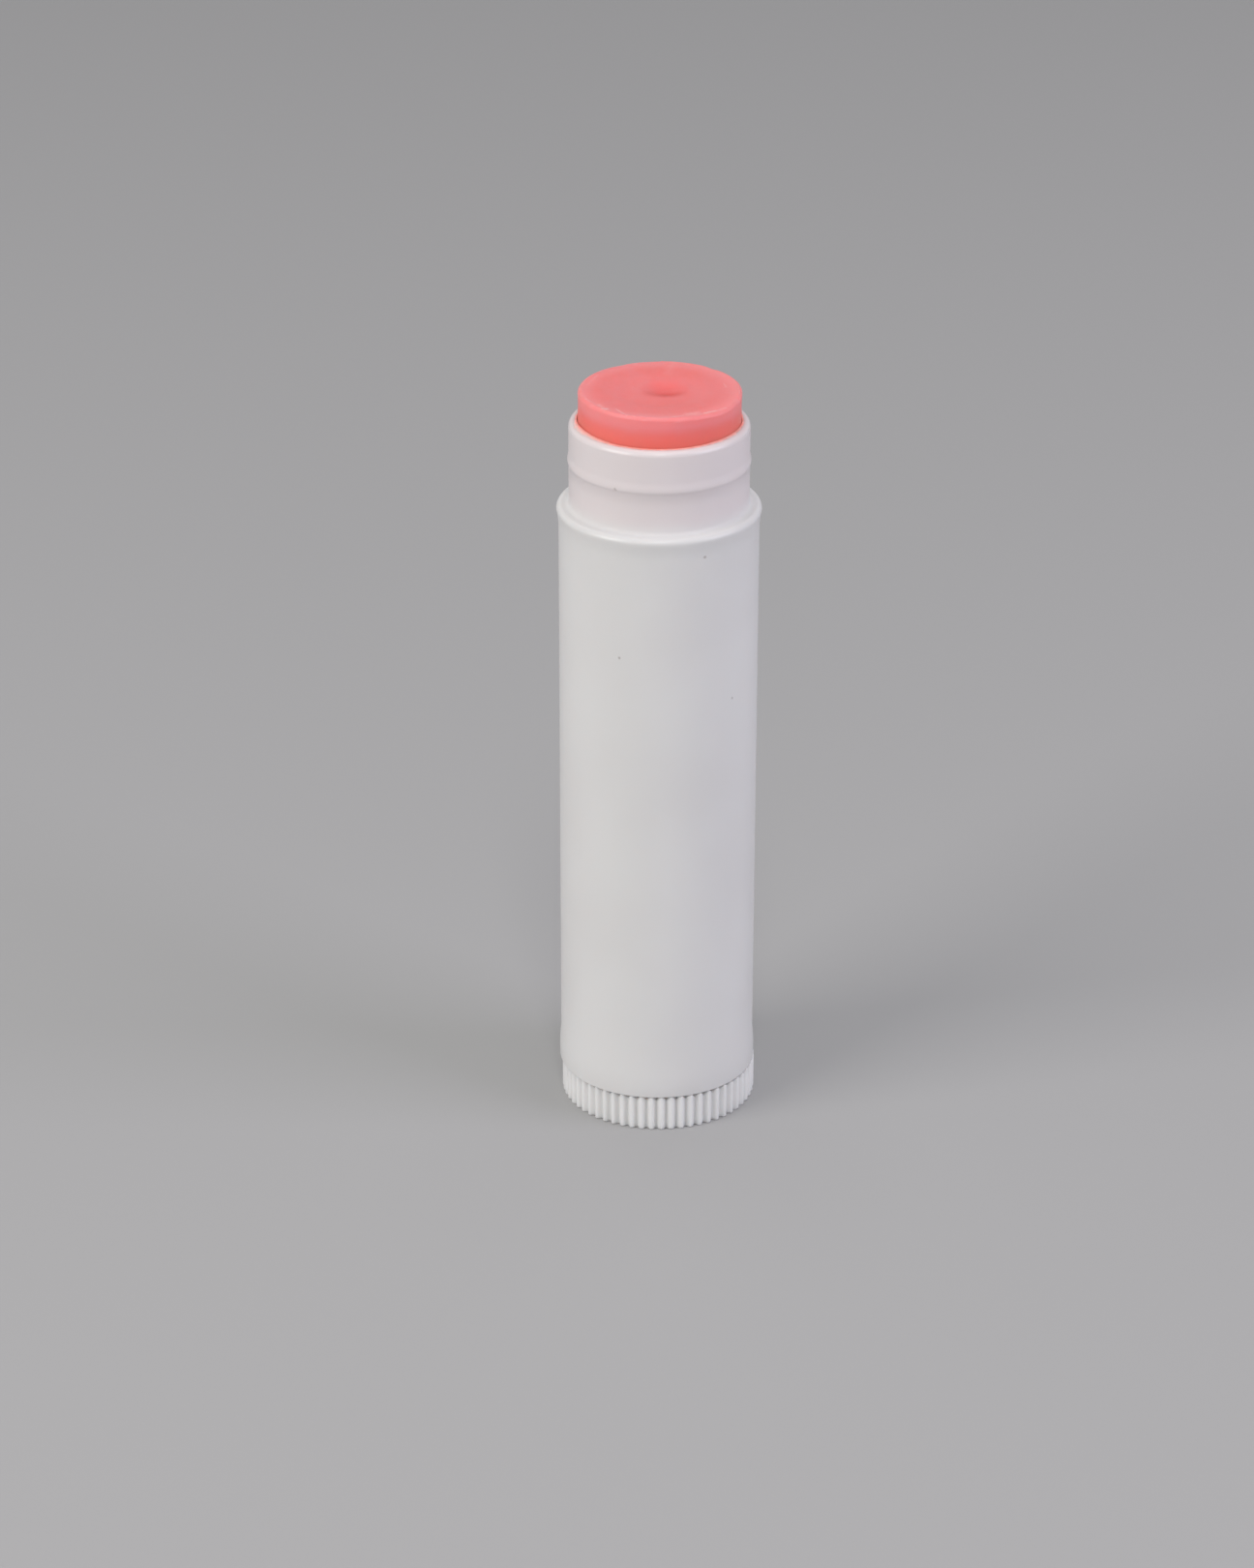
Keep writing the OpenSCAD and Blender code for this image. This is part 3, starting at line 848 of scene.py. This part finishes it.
def scratched(tree, place, height, away):
    """A mask of fine scratches along the rim, in patches."""
    split = tree.nodes.new("ShaderNodeSeparateXYZ")
    tree.links.new(place, split.inputs["Vector"])
    round_it = reckon(tree, "ARCTAN2", split.outputs["Y"], split.outputs["X"])
    along = tree.nodes.new("ShaderNodeCombineXYZ")
    for value, stretch, label in ((round_it, scratch_round, "X"), (away, scratch_narrow, "Y"),
                                  (height, scratch_narrow, "Z")):
        tree.links.new(reckon(tree, "MULTIPLY", value, stretch), along.inputs[label])
    scratches = noise_node(tree, along.outputs["Vector"], scale=2.4, detail=3, rough=0.6)
    patches = noise_node(tree, along.outputs["Vector"], scale=0.7, detail=1, rough=0.5)
    by_edge = fade(tree, away, scratch_r_span)
    line = reckon(tree, "MULTIPLY", spread(tree, scratches, 0.6, 0.72), by_edge)
    line = reckon(tree, "MULTIPLY", line, fade(tree, height, scratch_z_span))
    line = reckon(tree, "MULTIPLY", line, spread(tree, patches, 0.45, 0.65))
    return reckon(tree, "MULTIPLY", line, scratch_strength)


# Painted shade: the balm's side deeper and redder towards the barrel, where less light reaches it.
low_shade_coral = (0.92, 0.18, 0.145, 1)
low_span = (mouth_z + 0.1, balm_top - 0.6)
# Painted light: a paler glow on the balm's thin rim, where light comes through its edge.
rim_glow_coral = (0.92, 0.38, 0.4, 1)
rim_glow_strength = 0.36
rim_r_span = (4.6, 6.2)
rim_z_span = (balm_top - 1.6, balm_top - 0.7)
# Pale pink for the scratches on the rim and for the painted highlight strokes.
rubbed_and_highlight_pink = (0.95, 0.66, 0.66, 1)
marks_z_span = (balm_top - 0.6, balm_top - 0.45)


def balm_painted_light_and_marks(tree, colour):
    """Paints shade into the side, redder towards the barrel, a paler glow into the thin rim and the dimple's
    shade, and adds the scratches and the painted highlight strokes.

    Each stroke gives its start and end on the top, its width in millimetres and its strength.
    """
    place, height, away = object_place(tree)
    redder = blend_colour(tree, fade(tree, height, low_span, 1.0, 0.0), colour, low_shade_coral)
    edge = reckon(tree, "MULTIPLY", fade(tree, away, rim_r_span), fade(tree, height, rim_z_span))
    paler = blend_colour(tree, reckon(tree, "MULTIPLY", edge, rim_glow_strength), redder, rim_glow_coral)
    shaded = dimple_painted_shade(tree, place, paler)
    line = scratched(tree, place, height, away)
    for start, end, width, strength in painted_highlight_strokes:
        mark = use_group(tree, stroke, Start=(start[0] * mm, start[1] * mm, 0),
                         End=(end[0] * mm, end[1] * mm, 0), Width=width * mm, Strength=strength)
        line = reckon(tree, "MAXIMUM", line, mark.outputs["Mask"])
    on_top = fade(tree, height, marks_z_span)
    return blend_colour(tree, reckon(tree, "MULTIPLY", line, on_top), shaded, rubbed_and_highlight_pink)


balm_coral = tinted_wax(
    "balm coral", colour=(0.88, 0.225, 0.225, 1), deep=(0.88, 0.2, 0.19, 1),
    bloom_colour=(0.9, 0.32, 0.33, 1), bloom=0.3, depth=0.001, finish=balm_painted_light_and_marks)
balm.data.materials.append(balm_coral)
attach(balm, "stick")
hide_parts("balm")

# Smear: a film of balm that the stick has left round the inside of the lip. It is thickest at the
# left of the mouth and at the right front, and stays on the barrel when the stick is wound.

elevator_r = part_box("elevator")[1][0] / mm
elevator_gap = 0.01
stick_gap = 0.008
smear_low_z = mouth_z - 0.9
smear_columns = 288
smear_places = ((-66, 22, 0.9), (52, 20, 0.35), (150, 40, 0.2))
slide_shares = (0, 0.12, 0.25, 0.4, 0.55, 0.7, 0.85, 1)
film_sink = 0.03
film_lift = 0.01
film_h = 0.05
heavy_h = 0.15
heavy_bulge = 0.03
film_curve = 1.6
film_w = 0.13
heavy_w = 0.25
torn_w = 0.17
torn_least = -0.35
patchy_share = 0.12
flecked_share = 0.16


def lip_height(radius):
    """Height of the lip at a radius."""
    past = max(0, radius - neck_r + lip_round)
    return mouth_z - lip_round + math.sqrt(lip_round ** 2 - past ** 2)


def smear_section(angle):
    """The film's half section at an angle: up beside the stick, over the lip's edge and back under it."""
    front = front_angle(angle)
    inside = max(elevator_r + elevator_gap, balm_r + lean * math.cos(angle) + stick_gap)
    heavy = humps(front, smear_places) + patchy_share * lumpy(angle, 9, 0)
    heavy = max(0.0, min(1, heavy + flecked_share * lumpy(angle, 22, 3)))
    torn = max(torn_least, lumpy(angle, 15, 5))
    rise = film_h + heavy_h * heavy
    reach = film_w + heavy_w * heavy + torn_w * torn
    slide = [(inside + reach * share, lip_height(inside + reach * share) + film_lift
              + rise * (1 - share) ** film_curve + heavy_bulge * heavy * math.sin(math.pi * share))
             for share in slide_shares]
    outside = slide[-1][0]
    under = arc(bore_r + lip_in_round, mouth_z - lip_in_round, lip_in_round - film_sink, 90, 180, 5)
    return ([(inside, smear_low_z)] + slide + [(outside, lip_height(outside) - film_sink)]
            + under + [(bore_r + film_sink, smear_low_z)])


smear_angles = [2 * math.pi * i / smear_columns for i in range(smear_columns)]
smear_sections = [smear_section(a) for a in smear_angles]
smear_rings = [
    [polar(*section[k], angle) for angle, section in zip(smear_angles, smear_sections)]
    for k in range(len(smear_sections[0]))
]
smear = skinned("lip_smear", smear_rings, closed=True)

thin_film_pink = (0.86, 0.62, 0.59, 1)
thin_film_span = (balm_r + 0.05, balm_r + 0.3)


def film(tree, colour):
    """Lets the white lip show through the film where it runs out thin."""
    thin = fade(tree, object_place(tree)[2], thin_film_span, 0.05, 0.9)
    return blend_colour(tree, thin, colour, thin_film_pink)


smear_coral = tinted_wax(
    "smear coral", colour=(0.93, 0.33, 0.27, 1), deep=(0.93, 0.27, 0.22, 1),
    bloom_colour=(0.92, 0.45, 0.42, 1), bloom=0.4, depth=0.00008, finish=film)
smear.data.materials.append(smear_coral)
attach(smear, "barrel")

# Camera: it looks down at the front from about 25 degrees, with a long lens, as the photograph does.
# The floor is plain and pale, and soft lights stand at the left, the front, the right and above.

camera_pitch = 0.4442
camera_yaw = -0.00756
camera_roll = 0.0012
camera_place = Vector((0, -331.24, 185.38)) * mm
focal_pixels = 4666.4
photo_height = 1620
sensor = 36

forward = Vector((math.sin(camera_yaw) * math.cos(camera_pitch),
                  math.cos(camera_yaw) * math.cos(camera_pitch), -math.sin(camera_pitch)))
across = Vector((math.cos(camera_yaw), -math.sin(camera_yaw), 0))
upward = across.cross(forward)
across, upward = (across * math.cos(camera_roll) + upward * math.sin(camera_roll),
                  upward * math.cos(camera_roll) - across * math.sin(camera_roll))
camera_data = bpy.data.cameras.new("studio camera")
camera_data.sensor_width = sensor
camera_data.lens = focal_pixels / photo_height * sensor
camera_data.clip_start = 0.01
camera_data.clip_end = 20
camera = bpy.data.objects.new("studio camera", camera_data)
axes = Matrix((across, upward, -forward)).transposed().to_4x4()
camera.matrix_world = Matrix.Translation(camera_place) @ axes
bpy.context.scene.collection.objects.link(camera)
bpy.context.scene.camera = camera

floor_half = 3.0
floor_mesh = bpy.data.meshes.new("floor")
floor_mesh.from_pydata([(-floor_half, -floor_half, 0), (floor_half, -floor_half, 0),
                        (floor_half, floor_half, 0), (-floor_half, floor_half, 0)], [], [(0, 1, 2, 3)])
floor = bpy.data.objects.new("floor", floor_mesh)
bpy.context.scene.collection.objects.link(floor)
floor_grey = principled("pale floor", Base_Color=(0.42, 0.42, 0.42, 1), Roughness=0.6)[0]
floor_mesh.materials.append(floor_grey)

tube_middle = Vector((0, 0, 0.035))


def soft_light(name, place, width, height, power, colour):
    """A rectangular soft light that faces the middle of the tube."""
    data = bpy.data.lights.new(name, "AREA")
    data.shape = "RECTANGLE"
    data.size = width
    data.size_y = height
    data.energy = power
    data.color = colour
    light = bpy.data.objects.new(name, data)
    light.location = place
    light.rotation_euler = (tube_middle - Vector(place)).to_track_quat("-Z", "Y").to_euler()
    bpy.context.scene.collection.objects.link(light)


soft_light("left light", place=(-0.56, -0.36, 0.38), width=0.42, height=0.42, power=3.0,
           colour=(1.0, 0.965, 0.945))
soft_light("front light", place=(0.02, -0.42, 0.6), width=0.11, height=0.22, power=0.75,
           colour=(1.0, 1.0, 0.95))
soft_light("right light", place=(0.6, -0.22, 0.32), width=0.42, height=0.42, power=2.05,
           colour=(0.89, 0.855, 1.0))
soft_light("top light", place=(0.0, 0.1, 0.7), width=0.35, height=0.35, power=0.6,
           colour=(1.0, 0.99, 1.0))

world = bpy.data.worlds.new("studio world")
world.use_nodes = True
room_light = world.node_tree.nodes["Background"]
room_light.inputs["Color"].default_value = (0.98, 0.98, 1.0, 1)
room_light.inputs["Strength"].default_value = 0.38
bpy.context.scene.world = world
bpy.context.scene.view_settings.view_transform = "Standard"
